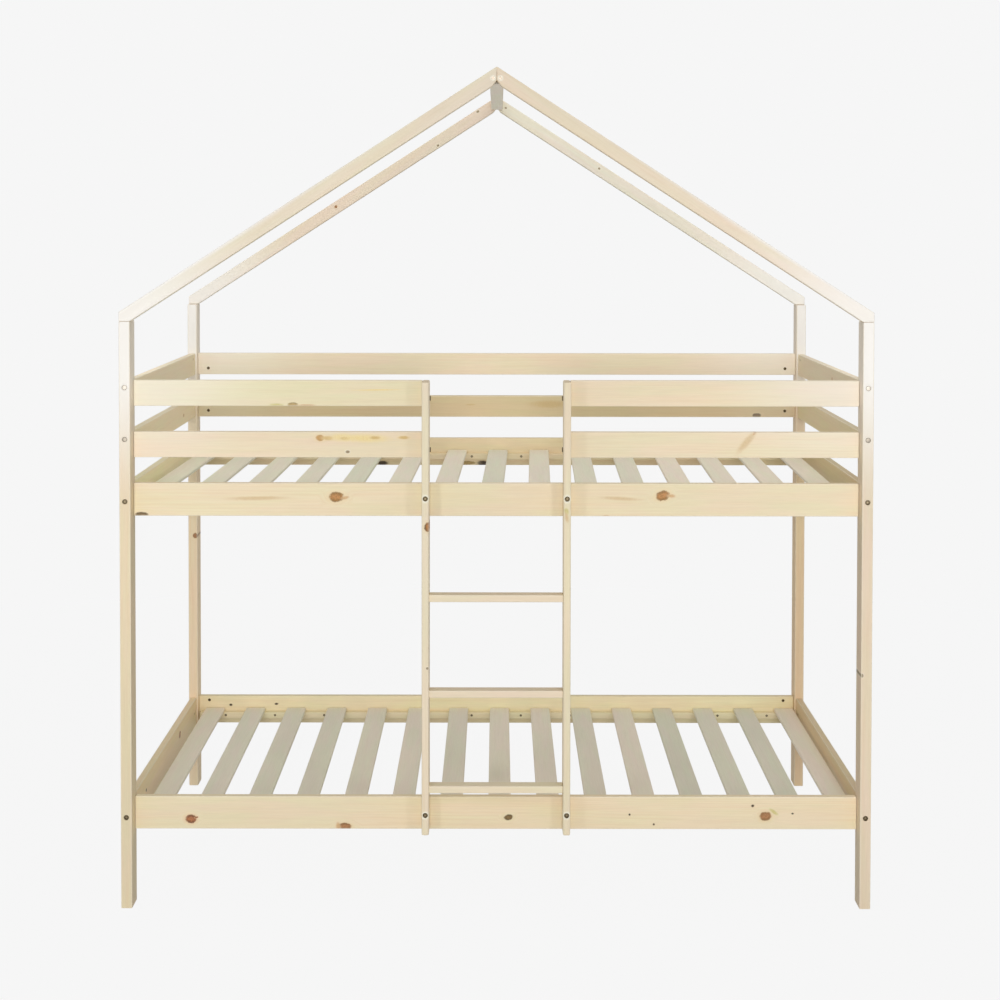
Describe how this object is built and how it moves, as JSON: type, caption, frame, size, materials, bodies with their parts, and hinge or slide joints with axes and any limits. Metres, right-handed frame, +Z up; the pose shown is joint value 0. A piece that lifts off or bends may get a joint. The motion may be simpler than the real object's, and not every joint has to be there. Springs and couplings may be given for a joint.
{
  "type": "house bunk bed",
  "caption": "Pine bunk bed with two slatted beds, guard boards, a front ladder and an open gable roof frame over the posts.",
  "frame": {"origin": "on the floor, under the middle of the overall box", "axes": "+X to the right as seen from the ladder, +Y from the ladder side to the back, +Z up"},
  "size_m": [1.973, 1.026, 2.212],
  "materials": {
    "post_pine": "planed pale pine, unvarnished",
    "rail_pine": "planed pale pine with knots, unvarnished",
    "guard_pine": "planed pale pine with knots, unvarnished",
    "ladder_pine": "planed pale pine, unvarnished",
    "roof_pine": "planed pale pine, unvarnished",
    "slat_wood": "sawn and sanded, paler and greyer than the frame",
    "bolt_steel": "zinc plated bolt heads, barrel nuts and screws"
  },
  "bodies": {
    "root": {"ladder_stile_left": "ladder_pine", "ladder_stile_right": "ladder_pine", "lower_guard_back": "guard_pine", "lower_guard_front_left": "guard_pine", "lower_guard_front_right": "guard_pine", "lower_guard_left": "guard_pine", "lower_guard_right": "guard_pine", "lower_rail_back": "rail_pine", "lower_rail_front": "rail_pine", "lower_rail_left": "rail_pine", "lower_rail_right": "rail_pine", "lower_slat_01": "slat_wood", "lower_slat_02": "slat_wood", "lower_slat_03": "slat_wood", "lower_slat_04": "slat_wood", "lower_slat_05": "slat_wood", "lower_slat_06": "slat_wood", "lower_slat_07": "slat_wood", "lower_slat_08": "slat_wood", "lower_slat_09": "slat_wood", "lower_slat_10": "slat_wood", "lower_slat_11": "slat_wood", "lower_slat_12": "slat_wood", "lower_slat_13": "slat_wood", "lower_slat_14": "slat_wood", "lower_slat_15": "slat_wood", "post_back_left": "post_pine", "post_back_right": "post_pine", "post_front_left": "post_pine", "post_front_right": "post_pine", "rafter_back_left": "roof_pine", "rafter_back_right": "roof_pine", "rafter_front_left": "roof_pine", "rafter_front_right": "roof_pine", "ridge_beam": "roof_pine", "upper_guard_back": "guard_pine", "upper_guard_front_left": "guard_pine", "upper_guard_front_right": "guard_pine", "upper_guard_left": "guard_pine", "upper_guard_right": "guard_pine", "upper_rail_back": "rail_pine", "upper_rail_front": "rail_pine", "upper_rail_left": "rail_pine", "upper_rail_right": "rail_pine", "upper_slat_01": "slat_wood", "upper_slat_02": "slat_wood", "upper_slat_03": "slat_wood", "upper_slat_04": "slat_wood", "upper_slat_05": "slat_wood", "upper_slat_06": "slat_wood", "upper_slat_07": "slat_wood", "upper_slat_08": "slat_wood", "upper_slat_09": "slat_wood", "upper_slat_10": "slat_wood", "upper_slat_11": "slat_wood", "upper_slat_12": "slat_wood", "upper_slat_13": "slat_wood", "upper_slat_14": "slat_wood", "upper_slat_15": "slat_wood"}
  },
  "joints": []
}
